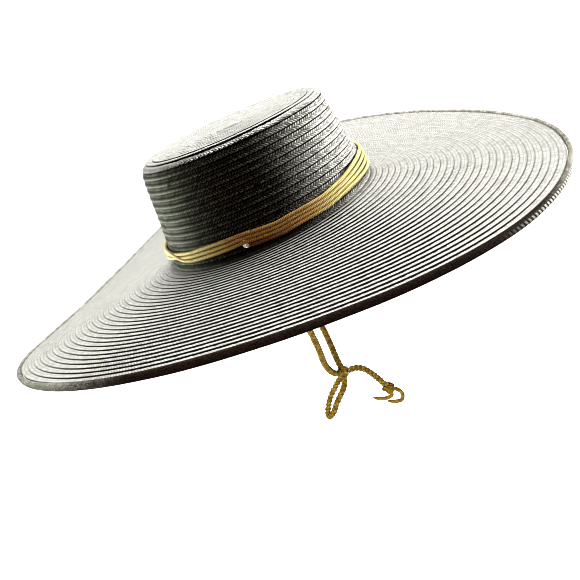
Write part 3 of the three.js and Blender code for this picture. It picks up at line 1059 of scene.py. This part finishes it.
freeRoute = [
    (0.0065, 0.0, -0.1696),
    (0.0126, 0.0, -0.1736),
    (0.0190, 0.0, -0.1840),
]
longTailRoute = [
    (0.0336, 0.002, -0.2100),
    (0.0360, 0.002, -0.2162),
    (0.0330, 0.002, -0.2216),
    (0.0270, 0.002, -0.2206),
    (0.0205, 0.002, -0.2166),
]
shortTailRoute = [
    (0.0264, -0.0022, -0.2104),
    (0.0200, -0.0024, -0.2108),
    (0.0146, -0.0024, -0.2084),
    (0.0094, -0.0024, -0.2042),
]


def chinFinish(name, look, paleTip=False):
    fin = Finish(name, {"Roughness": look["rough"], "Specular IOR Level": look["specular"],
                        "Sheen Weight": look["fuzz"]})
    along, around = fin.alongAround()
    depth = fin.attribute("depth")
    threads = (along * look["threads"] + around * look["threadTurns"]).ridge()
    blotch = fin.noisy(fin.position(), look["blotchScale"], 1.0).above(*look["blotch"])
    strand = fin.mixed(blotch, look["crest"], look["brown"])
    # Painted shade between the threads and in the creases between the strands
    strand = fin.scaled(strand, look["brightness"] - threads * look["threadDark"])
    colour = fin.mixed(depth, look["crease"], strand)
    if paleTip:
        colour = fin.mixed(along.above(*look["tip"]), look["pale"], colour)
    fin.link("Base Color", colour)
    fin.bump(depth + threads * look["threadHeight"], look["bumpStrength"], look["bump"])
    return fin


plaitedCord = chinFinish("plaitedCord", chinCord)
tippedCord = chinFinish("tippedCord", chinCord, True)


# How far the plait's three strands reach from its middle line at a place along it, farthest first
def strandReaches(along, around, size):
    look = chinCord
    reaches = []
    for strand in range(3):
        phase = tau * (along / (look["pitch"] * size) + strand / 3)
        x = look["sway"] * size * math.sin(phase)
        y = look["thick"] * size * math.sin(2 * phase)
        onRay = x * math.cos(around) + y * math.sin(around)
        offRay = x * math.sin(around) - y * math.cos(around)
        reaches.append(onRay + math.sqrt(max((look["strand"] * size) ** 2 - offRay ** 2, 0)))
    return sorted(reaches, reverse=True)


def plaitReach(along, around, size=1.0):
    return strandReaches(along, around, size)[0]


def plaitDepth(along, around, size=1.0):  # 1 on the strands' crests, 0 in the creases between them
    first, second = strandReaches(along, around, size)[:2]
    return min(1.0, (first - second) / (chinCord["creaseDepth"] * size))


def besideKnot(knot, place):  # where a cord that goes to a place leaves the knot, just inside it
    centre = Vector(knot["centre"])
    return centre + (Vector(place) - centre).normalized() * (knot["radius"] - knotCord["intoKnot"])


def makePlait(name, route, finish):
    points, length = evenly(smoothRoute(route), chinCord["step"])
    cord = makeTube(name, points, plaitReach, chinCord["sides"], finish, (1, 0, 0), depth=plaitDepth)
    return cord, points, length


def makeKnot(name, knot):
    look = knotCord
    full = knot["radius"] * knot["swell"]
    route = []
    for step in range(look["routePoints"]):
        t = tau * step / look["routePoints"]
        out = full * look["ring"] + full * look["thick"] * look["bulge"] * math.cos(3 * t)
        up = full * look["thick"] * math.sin(3 * t)
        local = Vector((out * math.cos(2 * t), out * math.sin(2 * t), up))
        route.append(knot["turn"] @ local + Vector(knot["centre"]))
    points = evenly(smoothRoute(route, True, look["fine"]), knot["radius"] * look["step"])[0]
    size = full * look["reach"] / (chinCord["sway"] + chinCord["strand"])
    return makeTube(name, points, lambda s, a: plaitReach(s, a, size) * look["fuller"], look["sides"],
                    plaitedCord, closed=True, depth=lambda s, a: plaitDepth(s, a, size))


def makeTail(name, route):  # it thins towards its free end
    points, length = evenly(smoothRoute([besideKnot(endKnot, route[0])] + route), tailCord["step"])
    radius = tailCord["diameter"] / 2

    def reach(along, around):
        taper = tailCord["endShare"] + tailCord["swell"] * min((length - along) / tailCord["taper"], 1.0)
        twist = 1 + tailCord["uneven"] * math.sin(along * tailCord["unevenTurns"] + around)
        return radius * taper * twist

    tail = makeTube(name, points, reach, tailCord["sides"], plaitedCord,
                    depth=lambda s, a: tailCord["depth"])
    printLength(name, length)
    return tail, points, length


def strandStart(side):
    start = besideCrown(side * eyelets["azimuth"], eyelets["height"], 0)
    return start + wallNormal(side) * chinCord["outOfWall"]


chinKnotPiece = makeKnot("chinKnot", chinKnot)
wear(chinKnotPiece, "chin_knot", "chin_cord")
endKnotPiece = makeKnot("endKnot", endKnot)
wear(endKnotPiece, "end_knot", "chin_cord")
tailShort = makeTail("tailShort", shortTailRoute)[0]
wear(tailShort, "tail_short", "chin_cord")
tailLong, points, length = makeTail("tailLong", longTailRoute)
wear(tailLong, "tail_long", "chin_cord")
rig.cord(tailLong, exit=points[0], length=length, diameter=tailCord["diameter"], far_end="bare",
        stiffness="limp", lay="hanging", path=points)

# Each piece of plait: name, node, route, finish, the knot that it goes to and the pieces on it
chinPieces = [
    ("chinCordRight", "chin_cord_right", [strandStart(-1)] + rightRoute, tippedCord, chinKnot,
     [chinKnotPiece]),
    ("chinCordLeft", "chin_cord_left", [strandStart(1)] + leftRoute, tippedCord, chinKnot, []),
    ("chinLoop", "chin_loop", [besideKnot(chinKnot, loopRoute[0])] + loopRoute, plaitedCord, chinKnot, []),
    ("chinFreeEnd", "chin_free_end", [besideKnot(chinKnot, freeRoute[0])] + freeRoute, plaitedCord,
     endKnot, [endKnotPiece, tailShort]),
]
for name, node, route, finish, knot, onIt in chinPieces:
    route = route + [besideKnot(knot, route[-1])]
    cord, points, length = makePlait(name, route, finish)
    wear(cord, node, "chin_cord")
    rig.cord(cord, exit=points[0], length=length, diameter=chinCord["diameter"], far_end="knot",
            stiffness="limp", lay="hanging", path=points, with_pieces=onIt)
    printLength(name, length)
print("chin cord made")


# Studio: a pale sweep well under the hat, soft boxes over and behind it, and some that light
# only the pieces whose names start as listed
studio = {
    "floorHeight": -0.9, "floorRadius": 14.0, "floorSegments": 96, "wall": 5.0, "cornerAngle": 0.5,
    "floor": (0.92, 0.92, 0.92), "floorRough": 0.9, "glow": 1.0,
    "world": 0.032, "worldTint": (1.0, 0.80, 0.58),
    "boxes": [
        {"name": "overhead", "way": (0.26, 0.34, 0.90), "far": 3.6, "size": (2.2, 2.2), "power": 262,
         "tint": (1.0, 1.0, 0.97)},
        {"name": "brimFill", "way": (-0.10, -0.72, 0.68), "far": 3.0, "size": (1.6, 1.6), "power": 60,
         "tint": (1.0, 1.0, 1.0), "only": ("strawBrim",)},
        {"name": "rollFill", "way": (-0.10, -0.80, 0.60), "far": 3.0, "size": (1.6, 1.6), "power": 130,
         "tint": (1.0, 1.0, 0.97), "only": ("rolledEdge",)},
        {"name": "rightBandBox", "way": (0.94, -0.10, 0.25), "far": 1.6, "size": (0.8, 0.8), "power": 22,
         "tint": (1.0, 1.0, 0.95), "only": ("bandCord",)},
        {"name": "behind", "way": (-0.25, 0.84, 0.48), "far": 2.0, "size": (2.4, 1.5), "power": 12,
         "tint": (0.92, 1.0, 1.0)},
        {"name": "rightBox", "way": (0.92, 0.27, -0.12), "far": 1.6, "size": (1.0, 0.8), "power": 64,
         "tint": (1.0, 1.0, 0.95), "only": ("strawCrown", "bandCord", "rolledEdge")},
        {"name": "leftBox", "way": (-0.86, 0.46, -0.10), "far": 1.6, "size": (1.2, 0.8), "power": 18,
         "tint": (0.92, 1.0, 0.80), "only": ("straw", "rolledEdge")},
        {"name": "leftBandBox", "way": (-0.86, 0.46, -0.10), "far": 1.6, "size": (1.2, 0.8), "power": 80,
         "tint": (0.94, 1.0, 0.86), "only": ("bandCord",)},
        {"name": "bandFill", "way": (-0.70, -0.60, 0.10), "far": 1.4, "size": (0.6, 0.6), "power": 5.5,
         "tint": (1.0, 0.76, 0.48), "only": ("bandCord",)},
        {"name": "cordFill", "way": (-0.25, -0.95, 0.12), "far": 1.4, "size": (0.6, 0.6), "power": 13,
         "tint": (1.0, 0.88, 0.70), "only": ("chin", "endKnot", "tail")},
    ],
}


def makeFloor(look):
    fin = Finish("paleFloor", {"Roughness": look["floorRough"], "Base Color": (*look["floor"], 1.0),
                               "Emission Color": (1, 1, 1, 1), "Emission Strength": look["glow"]})
    bm = bmesh.new()
    bmesh.ops.create_circle(bm, cap_ends=True, segments=look["floorSegments"], radius=look["floorRadius"],
                            matrix=Matrix.Translation((0, 0, look["floorHeight"])))
    rim = [edge for edge in bm.edges if edge.is_boundary]
    wall = bmesh.ops.extrude_edge_only(bm, edges=rim)["geom"]
    raised = [part for part in wall if isinstance(part, bmesh.types.BMVert)]
    bmesh.ops.translate(bm, verts=raised, vec=(0, 0, look["wall"]))
    floor = addObject("floor", meshFrom("floor", bm, look["cornerAngle"]), fin)
    floor.visible_diffuse = False
    floor.visible_glossy = False
    floor.visible_shadow = False
    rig.stage(floor)


def makeBox(box):
    data = bpy.data.lights.new(box["name"], "AREA")
    data.shape = "RECTANGLE"
    data.size, data.size_y = box["size"]
    data.energy = box["power"]
    data.color = box["tint"]
    light = bpy.data.objects.new(box["name"], data)
    way = Vector(box["way"]).normalized()
    light.location = way * box["far"]
    light.rotation_mode = "QUATERNION"
    light.rotation_quaternion = way.to_track_quat("Z", "Y")
    light.visible_camera = False
    bpy.context.collection.objects.link(light)
    return light


def makeLights(look):
    for box in look["boxes"]:
        light = makeBox(box)
        if "only" in box:
            lit = bpy.data.collections.new(box["name"] + "Pieces")
            for piece in bpy.data.objects:
                if piece.name.startswith(box["only"]):
                    lit.objects.link(piece)
            light.light_linking.receiver_collection = lit
    world = bpy.data.worlds.new("studio")
    world.use_nodes = True
    background = world.node_tree.nodes["Background"]
    background.inputs["Color"].default_value = (*look["worldTint"], 1)
    background.inputs["Strength"].default_value = look["world"]
    bpy.context.scene.world = world


makeFloor(studio)
makeLights(studio)
bpy.context.scene.view_settings.view_transform = "Standard"
bpy.context.scene.cycles.diffuse_bounces = 0
bpy.context.scene.cycles.glossy_bounces = 0
bpy.context.scene.cycles.filter_width = 0.9
print("studio made")

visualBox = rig.bounds()
boxes = {"cad": [list(corner) for corner in cadBox], "visual": [list(corner) for corner in visualBox]}
with open("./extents.json", "w") as out:
    json.dump(boxes, out)
